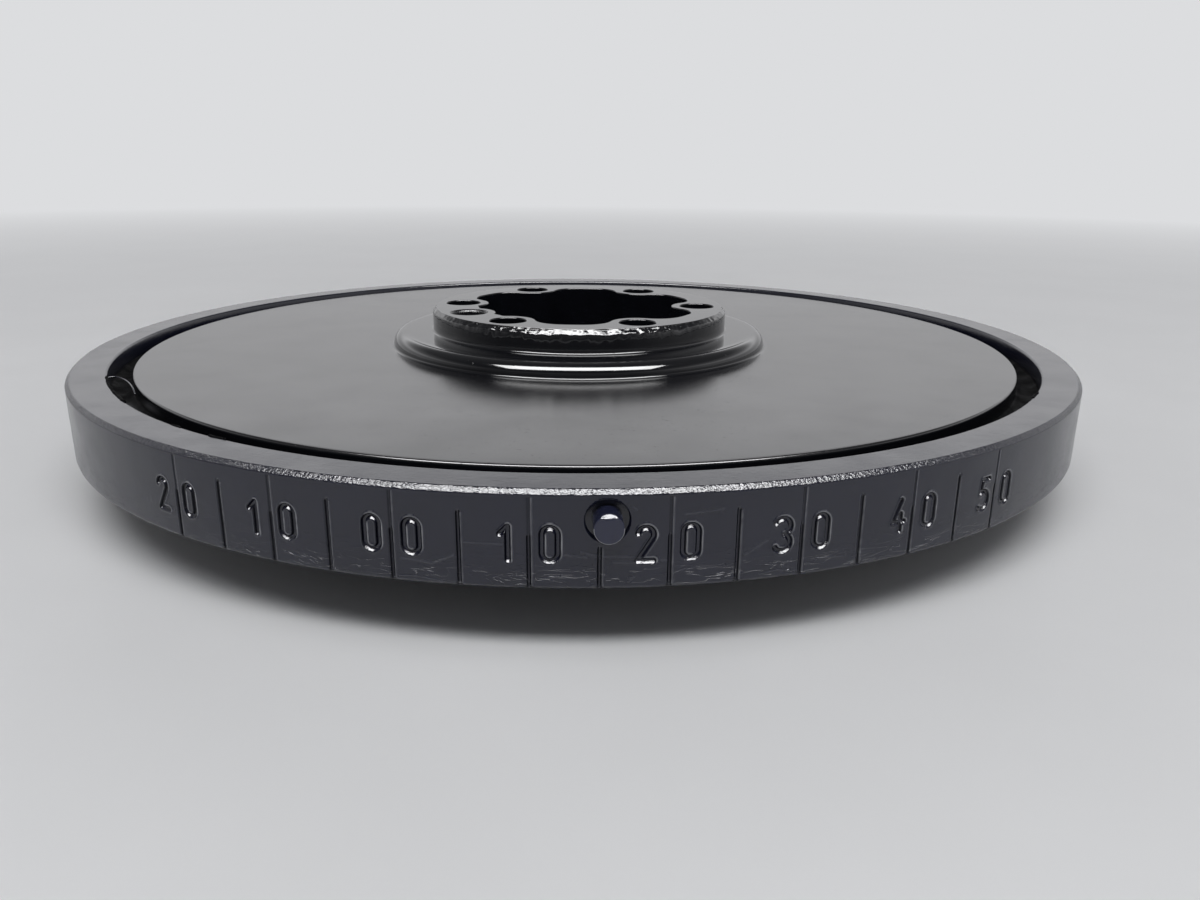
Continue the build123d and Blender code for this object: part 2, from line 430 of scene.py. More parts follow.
def strand(path, thickness):
    """A thin closed thread through points given as radius, scale angle and height."""
    points = [on_scale(radius, math.radians(turn), height) * MM for radius, turn, height in path]
    for _ in range(2):  # cuts the corners, so that the thread bends softly
        middle = [q for a, b in zip(points, points[1:]) for q in (a.lerp(b, 0.25), a.lerp(b, 0.75))]
        points = [points[0], *middle, points[-1]]
    bm = bmesh.new()
    rim = bmesh.ops.create_circle(bm, cap_ends=True, segments=8, radius=thickness / 2 * MM)["verts"]
    edges = list(bm.edges)
    place = Matrix.Identity(4)
    for before, point, after in zip(points[:1] + points, points, points[1:] + points[-1:]):
        moved = Matrix.Translation(point) @ (after - before).to_track_quat("Z", "Y").to_matrix().to_4x4()
        if point is not points[0]:
            new = bmesh.ops.extrude_edge_only(bm, edges=edges)["geom"]
            rim = [item for item in new if isinstance(item, bmesh.types.BMVert)]
            edges = [item for item in new if isinstance(item, bmesh.types.BMEdge)]
        bmesh.ops.transform(bm, matrix=moved @ place.inverted(), verts=rim)
        place = moved
    bmesh.ops.holes_fill(bm, edges=edges)
    bmesh.ops.recalc_face_normals(bm, faces=bm.faces)
    return bm


def finish_piece(bm, name, material, node, weighted=False):
    """Turns a bmesh into a finished piece that rides on the body and stands for its CAD node."""
    mesh = to_mesh(bm, name)
    for polygon in mesh.polygons:
        polygon.use_smooth = True
    mesh.materials.append(material)
    piece = add_object(name, mesh)
    if weighted:
        normals = piece.modifiers.new("Flat faces stay flat", "WEIGHTED_NORMAL")
        normals.mode = "FACE_AREA"
        normals.weight = 100
    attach(piece, BODY)
    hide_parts(node)
    return piece


def mesh_points(mesh):
    """A mesh's points as an array, in metres."""
    points = np.empty(len(mesh.vertices) * 3)
    mesh.vertices.foreach_get("co", points)
    return points.reshape(-1, 3)


def move_points(mesh, points):
    """Puts a mesh's points at the places in an array, in metres."""
    mesh.vertices.foreach_set("co", points.ravel())
    mesh.update()


def polar(points):
    """Radius, scale angle from -Y towards +X, and height of points that are in metres."""
    radius = np.hypot(points[:, 0], points[:, 1]) / MM
    scale_angle = np.degrees(np.arctan2(points[:, 0], -points[:, 1]))
    return radius, scale_angle, points[:, 2] / MM


def store_share(mesh, name, shares):
    """Stores a number from 0 to 1 on each point, which a material reads by its name."""
    attribute = mesh.attributes.new(name, "FLOAT", "POINT")
    attribute.data.foreach_set("value", np.asarray(shares, np.float32))


# Scrambles whole numbers into repeatable noise
HASH_STEPS = (127.1, 311.7)
HASH_SEED_STEP = 53.3
HASH_SCALE = 43758.5453


def value_noise(x, seed):
    """Smooth repeatable noise from -1 to 1 along one number, or over two rows of numbers."""
    x = np.atleast_2d(x)
    cell = np.floor(x)
    share = x - cell
    share = share * share * (3 - 2 * share)
    total = np.zeros(x.shape[1])
    for corner in range(2 ** len(x)):
        bits = [(corner >> axis) & 1 for axis in range(len(x))]
        key = sum((low + bit) * step for low, bit, step in zip(cell, bits, HASH_STEPS))
        value = np.sin(key + seed * HASH_SEED_STEP) * HASH_SCALE
        weight = np.prod([part if bit else 1 - part for part, bit in zip(share, bits)], axis=0)
        total += (2 * (value - np.floor(value)) - 1) * weight
    return total


def layered_noise(along, height, layers):
    """Noise over a round face, in layers of (length along it, length up it, amount, seed)."""
    return sum(
        value_noise([along / length_along, height / length_up], seed) * amount
        for length_along, length_up, amount, seed in layers)


def bell(x, middle, width):
    """1 at the middle, falling smoothly to 0 on both sides."""
    return np.exp(-((x - middle) / width) ** 2)


# ---------------------------------------------------------------- hub

# The core keeps the solid's faces this far beyond the flange's flat
CORE_MARGIN = 0.05
DOWEL_ANGLE = math.radians(-50.0)
DOWEL_CIRCLE = 29.25
DOWEL_CHAMFER_RADIUS = 4.75
HUB_STEPS = 720
PAINT_ROUNDING = 0.28
# Edges of the core sharper than this are rounded by the paint, and flatter ones are merged away
SHARP, FLAT = math.radians(25), math.radians(0.3)
# Chatter marks as layers of noise: length along, length up, amount, seed
CHATTER = ((1.1, 0.8, 0.65, 3), (0.55, 0.4, 0.35, 5))
# The chatter is deep around this scale angle, as far as the reach, and fades over the last degrees
CHATTER_MIDDLE, CHATTER_REACH, CHATTER_FADE = 14.0, 50.0, 12.0


def hub_core(flange_inner):
    """The hub's middle, cut from a merged copy of the CAD solid: seat faces, lobed opening and holes."""
    bm = bmesh.new()
    bm.from_mesh(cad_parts["hub"].data)
    bmesh.ops.remove_doubles(bm, verts=bm.verts, dist=SAME_POINT)
    limit = (flange_inner + CORE_MARGIN) * MM
    outside = [
        face for face in bm.faces
        if any(math.hypot(v.co.x, v.co.y) > limit for v in face.verts)
    ]
    bmesh.ops.delete(bm, geom=outside, context="FACES")
    bmesh.ops.dissolve_limit(
        bm, angle_limit=FLAT, verts=bm.verts, edges=bm.edges, delimit={"NORMAL"},
    )
    rims = [
        edge for edge in bm.edges
        if len(edge.link_faces) == 2 and edge.calc_face_angle() > SHARP
    ]
    bmesh.ops.bevel(
        bm, geom=rims, offset=PAINT_ROUNDING * MM, offset_type="OFFSET", segments=3,
        profile=0.5, affect="EDGES", material=-1, clamp_overlap=True,
    )
    return bm


def make_hub(hub):
    """The hub: a turned outside around the core, with a chattered chamfer."""
    inner = hub.flange_radius - hub.flange_chamfer
    chamfer_low = hub.flange_top - hub.flange_chamfer
    step = hub.collar_radius - hub.collar_rounding - 0.15
    corners = [
        # the flange's chamfer and its wall
        (inner + 0.02, hub.flange_top),
        (inner + 0.12, hub.flange_top - 0.06, 0.0, 5),
        (hub.flange_radius - 0.08, chamfer_low + 0.1),
        (hub.flange_radius, chamfer_low - 0.1, 0.0, 2),
        # the collar: a flat, a small step and a round outer edge
        (hub.flange_radius, hub.collar_top, 0.5, 3),
        (step, hub.collar_top),
        (step + 0.1, hub.collar_top - 0.13),
        (hub.collar_radius, hub.collar_top - 0.13, hub.collar_rounding),
        # the disc and its rim
        (hub.collar_radius, hub.disc_top, 0.5),
        (hub.collar_radius + 1.5, hub.disc_top, 0.0, 6),
        (hub.disc_radius - 1.2, hub.disc_top),
        (hub.disc_radius - 0.1, hub.disc_top, 0.35),
        (hub.disc_radius, hub.disc_top - 0.7),
        (hub.disc_radius, hub.disc_bottom, 0.5),
        # the rear boss
        (hub.flange_radius + 6.0, hub.disc_bottom),
        (hub.flange_radius, hub.disc_bottom, 4.0),
        (hub.flange_radius, 1.0, 0.3),
        (inner + 0.02, 0.0),
    ]
    bm = spin_about_axis(turned_section(corners), even_sectors(HUB_STEPS))
    add_to(bm, hub_core(inner))
    for height in (0.0, hub.flange_top):
        rim = [
            edge for edge in bm.edges
            if edge.is_boundary and all(abs(v.co.z / MM - height) < 0.02 for v in edge.verts)
        ]
        bmesh.ops.bridge_loops(bm, edges=rim)
    bmesh.ops.recalc_face_normals(bm, faces=bm.faces)
    piece = finish_piece(
        bm, "balancer_hub", gloss_enamel("Black gloss enamel on turned iron", hub.enamel),
        "hub", weighted=True,
    )
    roughen_chamfers(piece.data, hub, inner, chamfer_low)


def roughen_chamfers(mesh, hub, inner, chamfer_low):
    """Presses chatter marks into the flange's chamfer, and marks where the sawn finish shows."""
    points = mesh_points(mesh)
    radius, scale_angle, height = polar(points)
    on_chamfer = (radius > inner + 0.05) & (radius < hub.flange_radius + 0.01)
    on_chamfer &= (height > chamfer_low - 0.3) & (height < hub.flange_top + 0.01)
    chatter = layered_noise(np.radians(scale_angle) * hub.flange_radius, height, CHATTER)
    from_middle = np.abs(scale_angle - CHATTER_MIDDLE)
    worked = 0.3 + 0.7 * np.clip((CHATTER_REACH - from_middle) / CHATTER_FADE, 0.0, 1.0)
    push = np.where(on_chamfer, (chatter - 0.7) * hub.chamfer_roughness * worked, 0.0) * MM
    points[:, 0] += push * np.sin(np.radians(scale_angle))
    points[:, 1] -= push * np.cos(np.radians(scale_angle))
    points[:, 2] += push * 0.7
    move_points(mesh, points)
    dowel = on_scale(DOWEL_CIRCLE, DOWEL_ANGLE)
    from_dowel = np.hypot(points[:, 0] / MM - dowel.x, points[:, 1] / MM - dowel.y)
    store_share(mesh, "sawn", np.where(from_dowel < DOWEL_CHAMFER_RADIUS, 1.0, on_chamfer * 0.3 * worked))


# ---------------------------------------------------------------- inertia ring

SCALE_MARKS = range(-20, 51, 5)
PIN_MARK = 15
# How far below the top edge a line's broad part starts, and where its first, fine part does
LINE_STARTS = {"short": 3.6, "long": 7.0, "pin": 8.7}
LINE_TOPS = {**LINE_STARTS, "long": 1.1}
# The plain face lies this far under the solid's, so that the lips stay inside it
SURFACE_CLEARANCE = 0.14
# What counts as the struck face: within this depth of it, and this far below the ring's top
FACE_DEPTH, FACE_START = 0.7, 0.8
ON_SURFACE = 0.02
# Millimetres of arc to a degree on the ring's outer face
ARC = math.pi * (ring_high.x / MM - SURFACE_CLEARANCE) / 180
# The scale's mesh: its angle beyond the end marks, and the lengths of a fine and of a plain step
SECTOR_MARGIN = 3.4
FINE_STEP = 0.34
MIDDLE_STEP = 0.5
# Steps around the pin and its recess
PIN_STEPS = 96
# Fine columns before and after a mark
FINE_REACH = {"long": (18, 18), "short": (4, 4), "pin": (10, 11)}
# Columns beside a line are drawn to its walls: from, to, as distances from its middle
LINE_COLUMNS = ((0.0, 0.17, 0.34, 0.51, 0.68), (0.0, 0.19, 0.27, 0.37, 0.68))
# How far a digit reaches sideways and up from its middle, with its lips
DIGIT_REACH = (2.5, 4.2)
# Strokes are cut this much wider than their nominal widths, because their edges round off
LINE_FLARE, FINE_FLARE, DIGIT_FLARE = 1.06, 1.2, 1.15
LINE_LIP_HEIGHT = 0.06
SCRATCH_HEIGHT = 0.05
# Lips, painted highlights on the lines' right lips and painted shade on the strokes' walls, each a bell:
# distance from the stroke's middle, and width
LINE_LIP, LINE_HIGHLIGHT, LINE_WALL_SHADE, FINE_WALL_SHADE = (0.45, 0.1), (0.43, 0.09), (0.24, 0.1), (0.12, 0.1)
DIGIT_LIP, DIGIT_WALL_SHADE, SCRATCH = (0.55, 0.1), (0.37, 0.11), (0.0, 0.11)
# A step that tells which way a stroke's wall faces
PROBE = 0.05
# The outer face's faint waves as layers of noise: length along, length up, amount, seed
WAVES = ((3.0, 2.2, 0.02, 11), (0.9, 0.7, 0.006, 12))
PATCHY_WEAR_AND_HIGHLIGHT = ((0.8, 0.8, 0.25, 15),)
# Faces this near to a mark's middle are halved
STRUCK_REACH, SCRATCH_REACH, RECESS_REACH = 0.95, 0.4, 0.9
# Faces this near are halved once more: a digit's walls and a scratch's middle
WALL_REACH, SCRATCH_CORE = (0.12, 0.72), 0.2
# A distance beyond the reach of every mark
FAR = 9.0
# Where each label's two digits were struck: offset from the line and depth below the top
STRUCK = {
    -20: ((-3.7, 8.2), (3.0, 8.1)),
    -10: ((-3.3, 8.2), (3.0, 8.0)),
    0: ((-3.0, 7.85), (3.1, 7.85)),
    10: ((-3.4, 8.05), (3.0, 8.1)),
    20: ((-3.5, 8.2), (3.0, 8.05)),
    30: ((-3.15, 8.2), (3.1, 8.3)),
    40: ((-2.8, 8.0), (3.45, 8.1)),
    50: ((-3.0, 8.05), (3.5, 8.25)),
}
# A thread of enamel that bridges the gap, as points of (radius, scale angle, height)
ENAMEL_THREAD = (
    (107.5, -50.7, 25.2), (105.7, -50.9, 25.25), (104.15, -49.4, 25.1), (103.4, -47.3, 25.0),
    (103.25, -45.0, 24.8), (103.35, -43.4, 24.2),
)
# Fine raised scratches in the paint, as points of (scale angle, depth below the top)
SCRATCHES = (
    ((0.6, 11.3), (1.8, 11.5), (3.0, 11.8), (4.0, 10.9), (4.6, 10.3)),
    ((5.4, 8.19), (8.2, 8.24)),
    ((12.2, 9.6), (14.1, 10.05)),
    ((13.7, 9.25), (14.9, 9.87), (17.2, 10.1), (19.8, 10.8)),
    ((25.5, 10.8), (27.3, 8.7)),
    ((10.7, 13.4), (12.2, 12.95)),
    ((26.8, 14.0), (28.2, 13.6), (29.6, 14.1)),
    ((17.2, 2.5), (17.6, 2.9)),
    ((16.0, 10.9), (17.9, 11.0)),
    ((0.5, 14.1), (2.0, 13.9), (3.8, 14.5)),
    ((17.1, 13.3), (17.5, 13.1), (17.1, 13.9)),
    ((-9.0, 12.9), (-7.6, 13.3), (-6.8, 13.0)),
    ((21.0, 3.9), (23.8, 3.4)),
    ((31.5, 12.6), (33.8, 12.9)),
)


def segment_distance(x, y, start, end):
    """Distance of points from a straight stroke's middle line."""
    run = np.array(end) - np.array(start)
    share = ((x - start[0]) * run[0] + (y - start[1]) * run[1]) / max(run @ run, 1e-12)
    share = np.clip(share, 0.0, 1.0)
    return np.hypot(x - start[0] - share * run[0], y - start[1] - share * run[1])


def arc_distance(x, y, centre, radius, start, sweep):
    """Distance of points from a curved stroke's middle line, with angles in degrees."""
    dx, dy = x - centre[0], y - centre[1]
    turn = (np.degrees(np.arctan2(dy, dx)) - start) % 360.0
    ends = [
        np.hypot(dx - radius * math.cos(math.radians(a)), dy - radius * math.sin(math.radians(a)))
        for a in (start, start + sweep)
    ]
    return np.where(turn <= sweep, np.abs(np.hypot(dx, dy) - radius), np.minimum(*ends))


def digit_distance(digit, x, y, ring):
    """Distance of points from the nearest stroke of one digit, centred on zero."""
    top, side = (ring.digit_height - ring.digit_stroke) / 2, (ring.digit_width - ring.digit_stroke) / 2
    line, arc = segment_distance, arc_distance
    shapes = {
        "0": lambda: [
            line(x, y, (-side, side - top), (-side, top - side)),
            line(x, y, (side, side - top), (side, top - side)),
            arc(x, y, (0, top - side), side, 0, 180),
            arc(x, y, (0, side - top), side, 180, 180),
        ],
        "1": lambda: [
            line(x, y, (0.4 * side, -top), (0.4 * side, top)),
            line(x, y, (0.4 * side, top), (-0.6 * side, top - side)),
        ],
        "2": lambda: [
            arc(x, y, (0, top - side), side, -35, 200),
            line(x, y, (0.819 * side, top - 1.574 * side), (-side, -top)),
            line(x, y, (-side, -top), (side, -top)),
        ],
        "3": lambda: [
            arc(x, y, (0, top / 2), top / 2, -75, 225),
            arc(x, y, (0, -top / 2), top / 2, -150, 225),
        ],
        "4": lambda: [
            line(x, y, (0.3 * side, top), (-side, -0.4 * top)),
            line(x, y, (-side, -0.4 * top), (side, -0.4 * top)),
            line(x, y, (0.4 * side, 0.1 * top), (0.4 * side, -top)),
        ],
        "5": lambda: [
            line(x, y, (-0.6 * side, top), (side, top)),
            line(x, y, (-0.6 * side, top), (-0.8 * side, 0.1 * top)),
            arc(x, y, (-0.2 * side, -0.4 * top), 0.6 * top, -130, 235),
        ],
    }
    return np.min(shapes[digit](), axis=0)


def digits_distance(ring, scale_angle, drop, across=0.0, up=0.0):
    """Distance from the nearest digit's strokes, for points moved a little across and up."""
    nearest = np.full(len(drop), FAR)
    for mark, strikes in STRUCK.items():
        for digit, (offset, digit_drop) in zip(f"{abs(mark):02d}", strikes):
            x = (scale_angle - mark) * ARC - offset
            y = digit_drop - drop
            near = (np.abs(x) < DIGIT_REACH[0]) & (np.abs(y) < DIGIT_REACH[1])
            nearest[near] = digit_distance(digit, x[near] + across, y[near] + up, ring)
    return nearest


def mark_kind(mark):
    """Whole tens have long lines, and the line under the pin starts below it."""
    return "long" if mark % 10 == 0 else "pin" if mark == PIN_MARK else "short"


def lines_distance(scale_angle, drop):
    """Distance from the nearest line of the scale, fine parts too."""
    nearest = np.full(len(drop), FAR)
    for mark in SCALE_MARKS:
        below_top = drop - LINE_TOPS[mark_kind(mark)]
        nearest = np.minimum(nearest, np.hypot((scale_angle - mark) * ARC, np.minimum(below_top, 0.0)))
    return nearest


def scratches_distance(scale_angle, drop):
    """Distance from the nearest scratch."""
    nearest = np.full(len(drop), FAR)
    for path in SCRATCHES:
        for a, b in zip(path, path[1:]):
            nearest = np.minimum(nearest, segment_distance(
                scale_angle * ARC, drop, (a[0] * ARC, a[1]), (b[0] * ARC, b[1])))
    return nearest


def recess_distance(pin, scale_angle, drop):
    """Distance from the axis of the pin's recess."""
    return np.hypot((scale_angle - math.degrees(pin.place)) * ARC, drop - pin.drop)


def refine_scale(bm, ring, pin, outer, top):
    """Halves the faces where something is struck, and again on the digits' walls and scratches."""
    for is_second in (False, True):
        centres = np.array([face.calc_center_median() for face in bm.faces])
        radius, scale_angle, height = polar(centres)
        drop = top - height
        digits = digits_distance(ring, scale_angle, drop)
        scratches = scratches_distance(scale_angle, drop)
        if is_second:
            chosen = (digits > WALL_REACH[0]) & (digits < WALL_REACH[1]) | (scratches < SCRATCH_CORE)
        else:
            rim = recess_distance(pin, scale_angle, drop) - pin.recess_radius
            nearest = np.minimum(digits, lines_distance(scale_angle, drop))
            chosen = (nearest < STRUCK_REACH) | (scratches < SCRATCH_REACH) | (np.abs(rim) < RECESS_REACH)
        chosen &= (radius > outer - ON_SURFACE) & (drop > 1.0)
        edges = dict.fromkeys(edge for face, cut in zip(bm.faces, chosen) if cut for edge in face.edges)
        bmesh.ops.subdivide_edges(bm, edges=list(edges), cuts=1, use_grid_fill=True)


def scale_sectors():
    """The ring's sectors as (degrees, steps), from the start angle: fine where the scale is struck."""
    millimetre = math.degrees(MM / ring_high.x)
    start = SCALE_MARKS[0] - SECTOR_MARGIN
    sectors, at = [], start
    for mark in SCALE_MARKS:
        before, after = FINE_REACH[mark_kind(mark)]
        zone = mark - before * FINE_STEP * millimetre
        plain = (zone - at) / millimetre
        sectors.append((zone - at, max(1, math.ceil(plain / MIDDLE_STEP))))
        sectors.append(((before + after) * FINE_STEP * millimetre, before + after))
        at = mark + after * FINE_STEP * millimetre
    end = SCALE_MARKS[-1] + SECTOR_MARGIN
    if end > at:
        sectors.append((end - at, math.ceil((end - at) / millimetre / MIDDLE_STEP)))
        at = end
    rest = FULL_TURN - (at - start)
    sectors += [(rest / 4, round(rest / 8))] * 4
    return start, sectors


def groove(distance, width, depth, steepness=2.6):
    """Depth of a groove at a distance from its middle line. A steep one has a flatter bottom."""
    share = np.clip(distance / (width / 2), 0.0, 1.0)
    return depth * (1 - share ** steepness)


def make_ring(ring, pin):
    """The inertia ring: a turned section, then the scale struck into its outer face."""
    top, bottom = ring_high.z / MM, ring_low.z / MM
    outer = ring_high.x / MM - SURFACE_CLEARANCE
    inner = ring.inner_radius
    corners = [
        # the lower edge, the struck face and the sawn chamfer
        (inner, bottom + 0.5),
        (inner + 0.4, bottom, 0.15, 3),
        (outer - 0.5, bottom),
        (outer - 0.4, bottom + 0.04, 0.0, 2),
        (outer - 0.05, bottom + 0.42),
        (outer, bottom + 0.6, 0.0, 8),
        (outer, top - 11.7, 0.0, 30),
        (outer, top - 1.2, 0.0, 1),
        (outer, top - 0.8),
        (outer - 0.06, top - 0.67, 0.0, 3),
        (outer - 0.64, top - 0.09),
        (outer - 0.78, top),
        # the top, its inner edge and the bore
        (outer - 0.9, top, 0.0, 2),
        (inner + 0.65, top),
        (inner + 0.5, top),
        (inner + 0.15, top - 0.12),
        (inner, top - 0.45, 0.0, 3),
        (inner, bottom + 0.5),
    ]
    start, sectors = scale_sectors()
    bm = spin_about_axis(turned_section(corners), sectors, start - 90.0)
    refine_scale(bm, ring, pin, outer, top)
    add_to(bm, strand(ENAMEL_THREAD, 0.3))
    piece = finish_piece(
        bm, "balancer_ring", ring_enamel("Black enamel on turned iron", ring.enamel),
        "inertia_ring",
    )
    strike_scale(piece.data, ring, pin, outer, top)
    cut_recess(piece.data, pin, outer, top)
    radius, _, height = polar(mesh_points(piece.data))
    store_share(piece.data, "sawn", (radius > outer - 0.85) & (height > top - 0.76))


def strike_scale(mesh, ring, pin, outer, top):
    """Moves the outer face's points in where lines and digits are struck, and out at their lips. It also
    stores painted highlights on the lips and painted shade on the strokes' walls.
    """
    points = mesh_points(mesh)
    radius, scale_angle, height = polar(points)
    drop = top - height
    face = (radius > outer - FACE_DEPTH) & (drop > FACE_START)
    depth, lift, rubbed, cavity = np.zeros((4, len(points)))

    for mark in SCALE_MARKS:
        offset = (scale_angle - mark) * ARC
        near = face & (np.abs(offset) < LINE_COLUMNS[0][-1])
        drawn = np.sign(offset) * np.interp(np.abs(offset), *LINE_COLUMNS)
        scale_angle = np.where(near, mark + drawn / ARC, scale_angle)
        across = np.abs(scale_angle - mark) * ARC
        kind = mark_kind(mark)
        start, line_top = LINE_STARTS[kind], LINE_TOPS[kind]
        below = np.hypot(across, np.minimum(drop - start, 0.0))
        cut = groove(below, ring.line_width * LINE_FLARE, ring.line_depth)
        if kind == "long":
            fine = np.hypot(across, np.minimum(drop - line_top, 0.0))
            cut = np.maximum(cut, groove(fine, ring.fine_width * FINE_FLARE, ring.fine_depth))
            # Painted shade on the walls of a long line's fine upper part
            cavity = np.maximum(cavity, 0.8 * near * (drop > line_top) * bell(across, *FINE_WALL_SHADE))
        depth = np.where(near, np.maximum(depth, cut), depth)
        beside = near & (drop > start - 0.7)
        lift = np.maximum(lift, beside * LINE_LIP_HEIGHT * bell(below, *LINE_LIP))
        # Painted highlight: a pale line along each line's right lip, whose slope catches the light from
        # the left
        right_lip = near & (drop > line_top) & (scale_angle > mark)
        rubbed = np.maximum(rubbed, 0.6 * right_lip * bell(across, *LINE_HIGHLIGHT))
        # Painted shade on the walls of the line's broad part
        cavity = np.maximum(cavity, near * (drop > start) * bell(across, *LINE_WALL_SHADE))

    distance = digits_distance(ring, scale_angle, drop)
    further_out = digits_distance(ring, scale_angle, drop, PROBE, PROBE) - distance
    further_down = digits_distance(ring, scale_angle, drop, 0.0, -PROBE) - distance
    # The lower walls slope and catch the light; the others are steep, and painted shade darkens them
    lower_wall = np.clip(further_down / PROBE, 0.0, 1.0)
    cut = groove(distance, ring.digit_stroke * DIGIT_FLARE, ring.digit_depth, 4.0 - 2.5 * lower_wall)
    depth = np.maximum(depth, face * cut)
    cavity = np.maximum(cavity, bell(distance, *DIGIT_WALL_SHADE) * (1 - lower_wall))
    ridge = face * bell(distance, *DIGIT_LIP)
    lift = np.maximum(lift, ridge * ring.lip_height)
    # Painted highlight: a pale line on the digits' lips on their upper and right sides, where they catch
    # the light
    rubbed = np.maximum(rubbed, ridge * np.clip(further_out / PROBE, 0.0, 1.0))

    scratch = face * bell(scratches_distance(scale_angle, drop), *SCRATCH)
    lift = np.maximum(lift, scratch * SCRATCH_HEIGHT)
    rubbed = np.maximum(rubbed, scratch * 0.12)

    clear = recess_distance(pin, scale_angle, drop) > pin.recess_radius + 0.45
    depth, lift = depth * clear, lift * clear
    wave = layered_noise(scale_angle * ARC, height, WAVES) * (depth < 0.05)
    surface = np.minimum(radius, outer - depth + np.minimum(lift, SURFACE_CLEARANCE - 0.015))
    surface = np.where(
        radius > outer - ON_SURFACE,
        outer - depth + np.minimum(lift + wave, SURFACE_CLEARANCE - 0.01), surface)
    new_radius = np.where(face, surface, radius)
    points[:, 0] = new_radius * np.sin(np.radians(scale_angle)) * MM
    points[:, 1] = -new_radius * np.cos(np.radians(scale_angle)) * MM
    move_points(mesh, points)
    patchy = 0.75 + layered_noise(scale_angle * ARC, height, PATCHY_WEAR_AND_HIGHLIGHT)
    store_share(mesh, "rubbed", rubbed * patchy * clear)
    store_share(mesh, "cavity", cavity * clear)


def cut_recess(mesh, pin, outer, top):
    """Cuts a round hole in the struck face and joins the pin's recess into it."""
    rim, depth = pin.recess_radius, pin.recess_depth
    outward = on_scale(1.0, pin.place)
    centre = (outward * outer + Vector((0.0, 0.0, top - pin.drop))) * MM
    bm = bmesh.new()
    bm.from_mesh(mesh)
    doomed = []
    for face in bm.faces:
        offset = face.calc_center_median() - centre
        sunk = offset.dot(outward)
        if abs(sunk) < MM and (offset - sunk * outward).length < (rim + 0.3) * MM:
            doomed.append(face)
    bmesh.ops.delete(bm, geom=doomed, context="FACES")
    corners = [
        (rim + 0.06, 0.0),
        (rim, -0.06),
        (rim, -0.2, 0.0, 2),
        (rim, -depth, 0.15, 4),
        (0.0, -depth),
    ]
    cup = spin_about_axis(turned_section(corners), even_sectors(PIN_STEPS))
    for vert in cup.verts:  # the rim follows the ring's round face
        if vert.co.z > -0.1 * MM:
            vert.co.z -= vert.co.y ** 2 / (2 * outer * MM)
    bmesh.ops.transform(cup, matrix=Matrix.Translation(centre) @ facing(outward), verts=cup.verts)
    add_to(bm, cup)
    bmesh.ops.bridge_loops(bm, edges=[edge for edge in bm.edges if edge.is_boundary])
    bmesh.ops.recalc_face_normals(bm, faces=bm.faces)
    for face in bm.faces:
        face.smooth = True
    bm.to_mesh(mesh)
    bm.free()


def facing(outward):
    """Takes +Z to a level direction and +X down. It mirrors, so normals are recalculated after it."""
    return Matrix((
        (0.0, outward.y, outward.x, 0.0), (0.0, -outward.x, outward.y, 0.0),
        (-1.0, 0.0, 0.0, 0.0), (0.0, 0.0, 0.0, 1.0),
    ))


# ---------------------------------------------------------------- rubber and pin

RUBBER_STEPS = 360
# Torn flash along the ring's inner edge: start and end scale angle, and its seed
FLASH = ((-50.5, -38.0, 31), (-20.6, -18.6, 33), (-26.5, -25.0, 35), (68.5, 71.5, 37))
FLASH_STEP = 0.45
SWELL = 0.12
# A painted patch of light on the rubber's top, where light falls into the gap: a bell over the radius and
# one over the angle, middle and width
LIT_PATCH_RADIUS, LIT_PATCH_ANGLE = (104.9, 1.0), (-43.5, 2.6)
FILED_TILT = math.radians(42.0)
# The pin's enamel over the ring's, in brightness
PIN_BRIGHTNESS = 2


def make_rubber(rubber):
    """The rubber ring, moulded between the hub's rim and the inertia ring."""
    inner, outer = rubber.inner_radius, rubber_high.x / MM
    top, bottom = rubber_high.z / MM, rubber_low.z / MM
    middle, hollow = (inner + outer) / 2, rubber.hollow
    # One free face as (radius, how far it is sunk, cuts to the next point). The other turns back
    hollowed = (
        (inner, 0.0, 2), (middle - 1.2, 0.8 * hollow, 1), (middle, hollow, 1),
        (middle + 1.2, 0.8 * hollow, 2), (outer, 0.0, 4),
    )
    corners = [
        *((radius, top - sunk, 0.0, cuts) for radius, sunk, cuts in hollowed),
        *((2 * middle - radius, bottom + sunk, 0.0, cuts) for radius, sunk, cuts in hollowed),
        (inner, top),
    ]
    bm = spin_about_axis(turned_section(corners), even_sectors(RUBBER_STEPS))
    for start, end, seed in FLASH:
        at = np.linspace(start, end, round((end - start) / FLASH_STEP))
        rise, sway = value_noise(at / 0.8, seed), value_noise(at / 0.5, seed + 1)
        add_to(bm, strand([
            (outer + 0.1 + 0.2 * w, a, ring_high.z / MM - 0.15 + 0.1 * r)
            for a, r, w in zip(at, rise, sway)], 0.6))
    piece = finish_piece(
        bm, "rubber_band", moulded_rubber("Moulded black rubber", rubber.rubber),
        "rubber_ring",
    )
    points = mesh_points(piece.data)
    radius, scale_angle, height = polar(points)
    free = np.minimum(radius - inner, outer - radius).clip(0.0, 1.0)
    swell = np.abs(value_noise([scale_angle / 4.0, radius / 3.0], 21) * SWELL * free)
    points[:, 2] += np.where(height > (top + bottom) / 2, -swell, swell) * MM
    move_points(piece.data, points)
    # Painted light: the lighter patch on the rubber's top, where light falls into the gap
    on_top = (height > top - 1.5) & (height < top + 0.1)
    mist_and_lit_patch = bell(radius, *LIT_PATCH_RADIUS) * bell(scale_angle, *LIT_PATCH_ANGLE) * on_top
    store_share(piece.data, "rubbed", mist_and_lit_patch * 0.5)


